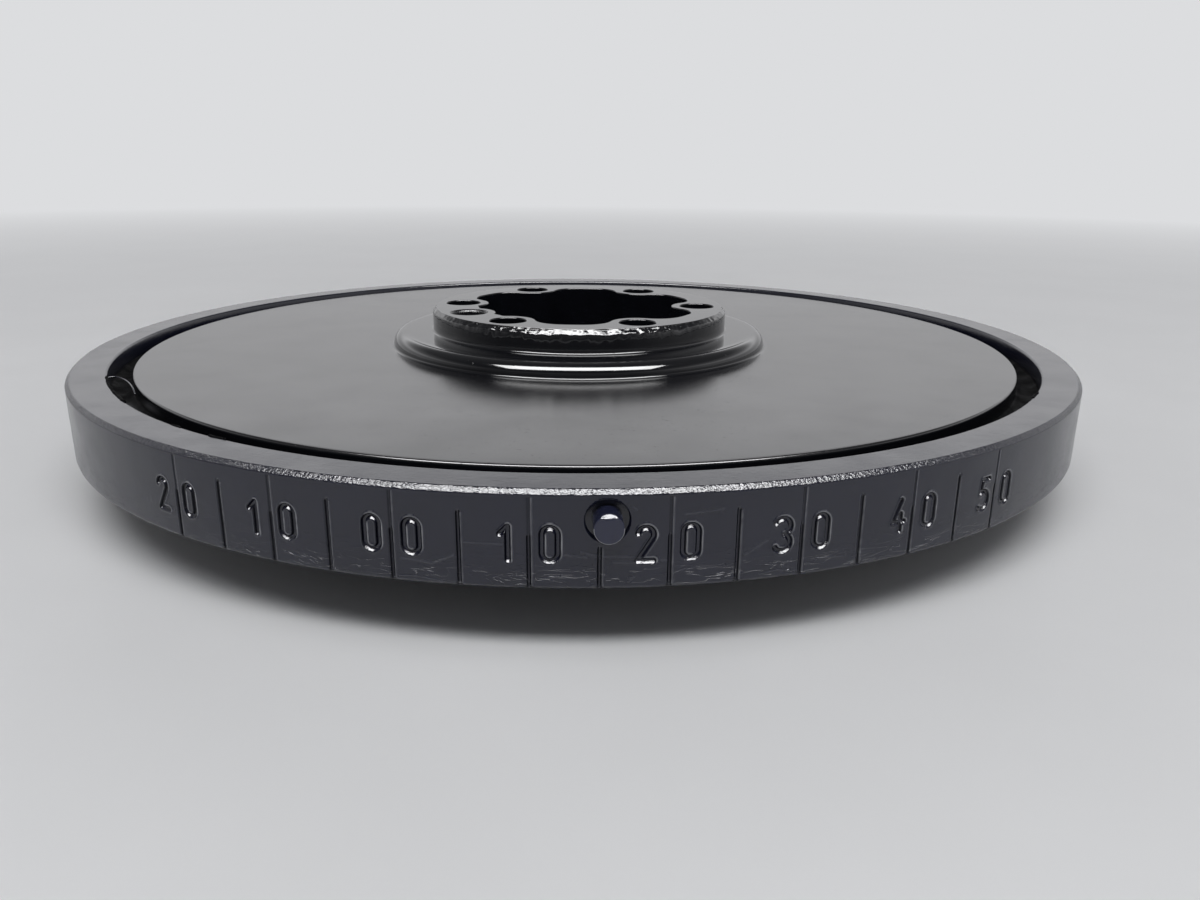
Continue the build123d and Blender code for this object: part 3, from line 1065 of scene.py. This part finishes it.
def make_pin(pin, enamel):
    """The timing pin: a short turned rod with a small flat filed on the upper edge of its end."""
    radius, projection = pin.radius, pin.projection
    corners = [
        (0.0, projection, 0.0, 3),
        (radius - 0.3, projection),
        (radius, projection, 0.14),
        (radius, projection - 1.0, 0.0, 4),
        (radius, 0.1 - pin.seat_depth),
        (0.0, -pin.seat_depth),
    ]
    bm = spin_about_axis(turned_section(corners), even_sectors(PIN_STEPS))
    cut = bmesh.ops.bisect_plane(
        bm, geom=bm.verts[:] + bm.edges[:] + bm.faces[:], clear_outer=True,
        plane_co=(-0.8 * radius * MM, 0.0, projection * MM),
        plane_no=(-math.sin(FILED_TILT), 0.0, math.cos(FILED_TILT)),
    )
    rim = [item for item in cut["geom_cut"] if isinstance(item, bmesh.types.BMEdge)]
    bmesh.ops.edgenet_fill(bm, edges=rim)
    outward = on_scale(1.0, pin.place)
    seat_point = outward * ring_high.x + Vector((0.0, 0.0, ring_high.z - pin.drop * MM))
    bmesh.ops.transform(bm, matrix=Matrix.Translation(seat_point) @ facing(outward), verts=bm.verts)
    bmesh.ops.recalc_face_normals(bm, faces=bm.faces)
    enamel = tuple(PIN_BRIGHTNESS * c for c in enamel)
    piece = finish_piece(
        bm, "timing_mark_pin", gloss_enamel("Black gloss enamel on a steel pin", enamel),
        "timing_pin", weighted=True,
    )
    offset = (mesh_points(piece.data) - np.array(seat_point)) / MM
    out = offset @ np.array(outward)
    from_axis = np.sqrt(np.maximum((offset ** 2).sum(axis=1) - out ** 2, 0.0))
    # Painted highlight: a pale line on the lower half of the end's rim, where the rounded edge reflects
    # the floor
    rim = (out > projection - 0.25) & (from_axis > radius - 0.13) & (offset[:, 2] < 0.2)
    store_share(piece.data, "rubbed", rim * 0.8)


# ---------------------------------------------------------------- stage

CAMERA_PLACE = (0.05576, -0.23135, 0.06997)
CAMERA_TURN = (72.584, -0.486, 12.390)
FLOOR_SIZE = 6.0
SKY = (
    # height of the view ray (sine of its elevation), brightness that the gloss mirrors
    (0.00, 0.78), (0.14, 0.72), (0.19, 0.80), (0.29, 1.42), (0.40, 0.6), (0.55, 0.22), (1.0, 0.16),
)
# The room in front of the zero mark is darker than the one behind, and the change lies between
# these directions (their Y)
FRONT_LEVEL = 0.25
FRONT_TO_BACK = (-0.7, 0.1)
LAMPS = (
    # name, place, size across and along, brightness over the key's, and what it shows in
    ("overhead_softbox", (0.11, -0.456, 0.91), (1.1, 0.30), 1.0, "both"),
    ("gloss_strip", (0.11, -0.45, 0.90), (1.5, 0.55), 3.2, "gloss"),
)
LAMP_TARGET = (0.0, 0.0, 0.02)


def make_floor(stage):
    """A wide pale floor, level with the rear seat that the balancer lies on."""
    bm = bmesh.new()
    bmesh.ops.create_grid(bm, x_segments=8, y_segments=8, size=FLOOR_SIZE)
    floor = add_object("pale_floor", to_mesh(bm, "pale_floor"))
    floor.data.materials.append(painted_floor("Matt pale floor paint", stage.floor, stage.backdrop))


def make_world(stage):
    """Pale all round for the camera. What lights and mirrors is brighter above than at the horizon."""
    world = bpy.data.worlds.new("Soft studio")
    bpy.context.scene.world = world
    world.use_nodes = True
    tree = world.node_tree
    tree.nodes.clear()
    direction = add_node(tree, "TexCoord").outputs["Generated"]
    parts = add_node(tree, "SeparateXYZ", (direction,))
    sky = add_node(tree, "ValToRGB", (parts.outputs["Z"],))
    elements = sky.color_ramp.elements
    while len(elements) < len(SKY):
        elements.new(0.5)
    for element, (place, level) in zip(elements, SKY):
        element.position = place
        element.color = (level, level, level * 1.02, 1.0)
    strength = add_node(tree, "MapRange", (
        parts.outputs["Y"], *FRONT_TO_BACK, FRONT_LEVEL, 1.0))
    lit = add_node(tree, "Background", (sky, strength))
    seen = add_node(tree, "Background", ((*stage.backdrop, 1.0), 1.0))
    rays = add_node(tree, "LightPath")
    mix = add_node(tree, "MixShader", (rays.outputs["Is Camera Ray"], lit, seen))
    add_node(tree, "OutputWorld", {"Surface": mix})


def make_softbox(name, place, size, level):
    """A soft rectangular lamp aimed at the balancer. Its face shows at the level, where 1 is white."""
    lamp = bpy.data.lights.new(name, "AREA")
    lamp.shape = "RECTANGLE"
    lamp.size, lamp.size_y = size
    lamp.energy = level * math.pi * size[0] * size[1]
    holder = add_object(name, lamp)
    holder.location = place
    aim = Vector(LAMP_TARGET) - Vector(place)
    holder.rotation_euler = aim.to_track_quat("-Z", "Y").to_euler()
    return holder


def make_camera(stage):
    """The camera, just above the ring's front edge."""
    data = bpy.data.cameras.new("balancer_camera")
    data.lens = stage.lens
    data.sensor_width = 36.0
    data.clip_start = 0.005
    data.clip_end = 50.0
    camera = add_object("balancer_camera", data)
    camera.location = CAMERA_PLACE
    camera.rotation_euler = Euler([math.radians(a) for a in CAMERA_TURN], "XYZ")
    bpy.context.scene.camera = camera


# ---------------------------------------------------------------- operators

class BALANCER_OT_hub(bpy.types.Operator):
    """Build the hub with its flange, collar, disc and lobed opening"""
    bl_idname = "balancer.hub"
    bl_label = "Hub"

    def execute(self, context):
        make_hub(in_millimetres(context.scene.balancer_hub))
        return {"FINISHED"}


class BALANCER_OT_rubber(bpy.types.Operator):
    """Build the rubber between the hub and the inertia ring"""
    bl_idname = "balancer.rubber"
    bl_label = "Rubber"

    def execute(self, context):
        make_rubber(in_millimetres(context.scene.balancer_rubber))
        return {"FINISHED"}


class BALANCER_OT_ring(bpy.types.Operator):
    """Build the inertia ring and strike its timing scale"""
    bl_idname = "balancer.ring"
    bl_label = "Inertia ring"

    def execute(self, context):
        make_ring(in_millimetres(context.scene.balancer_ring), in_millimetres(context.scene.balancer_pin))
        return {"FINISHED"}


class BALANCER_OT_pin(bpy.types.Operator):
    """Build the timing pin in its recess"""
    bl_idname = "balancer.pin"
    bl_label = "Timing pin"

    def execute(self, context):
        make_pin(in_millimetres(context.scene.balancer_pin), tuple(context.scene.balancer_ring.enamel))
        return {"FINISHED"}


class BALANCER_OT_stage(bpy.types.Operator):
    """Make the floor, the soft light and the camera"""
    bl_idname = "balancer.stage"
    bl_label = "Stage"

    def execute(self, context):
        stage = in_millimetres(context.scene.balancer_stage)
        make_floor(stage)
        make_world(stage)
        for name, place, size, share, shows in LAMPS:
            lamp = make_softbox(name, place, size, stage.key_level * share)
            lamp.visible_diffuse = shows != "gloss"
        make_camera(stage)
        context.scene.view_settings.view_transform = "Standard"
        return {"FINISHED"}


class BALANCER_PT_panel(bpy.types.Panel):
    """Lists the balancer's settings and the operators that build it"""
    bl_idname = "BALANCER_PT_panel"
    bl_label = "Harmonic Balancer"
    bl_space_type = "VIEW_3D"
    bl_region_type = "UI"
    bl_category = "Balancer"

    def draw(self, context):
        layout = self.layout
        for group, _, operator in STEPS:
            box = layout.box()
            settings = getattr(context.scene, group)
            for name in settings.__annotations__:
                box.prop(settings, name)
            box.operator(operator.bl_idname)


STEPS = (
    ("balancer_hub", BalancerHubSettings, BALANCER_OT_hub),
    ("balancer_rubber", BalancerRubberSettings, BALANCER_OT_rubber),
    ("balancer_ring", BalancerRingSettings, BALANCER_OT_ring),
    ("balancer_pin", BalancerPinSettings, BALANCER_OT_pin),
    ("balancer_stage", BalancerStageSettings, BALANCER_OT_stage),
)


def register():
    """Registers the settings, the operators and the panel."""
    for name, group, operator in STEPS:
        bpy.utils.register_class(group)
        setattr(bpy.types.Scene, name, bpy.props.PointerProperty(type=group))
        bpy.utils.register_class(operator)
    bpy.utils.register_class(BALANCER_PT_panel)


def unregister():
    """Takes away what register added."""
    bpy.utils.unregister_class(BALANCER_PT_panel)
    for name, group, operator in reversed(STEPS):
        bpy.utils.unregister_class(operator)
        delattr(bpy.types.Scene, name)
        bpy.utils.unregister_class(group)


def main():
    register()
    bpy.ops.balancer.hub()
    bpy.ops.balancer.rubber()
    bpy.ops.balancer.ring()
    bpy.ops.balancer.pin()
    bpy.ops.balancer.stage()


if __name__ == "__main__":
    main()
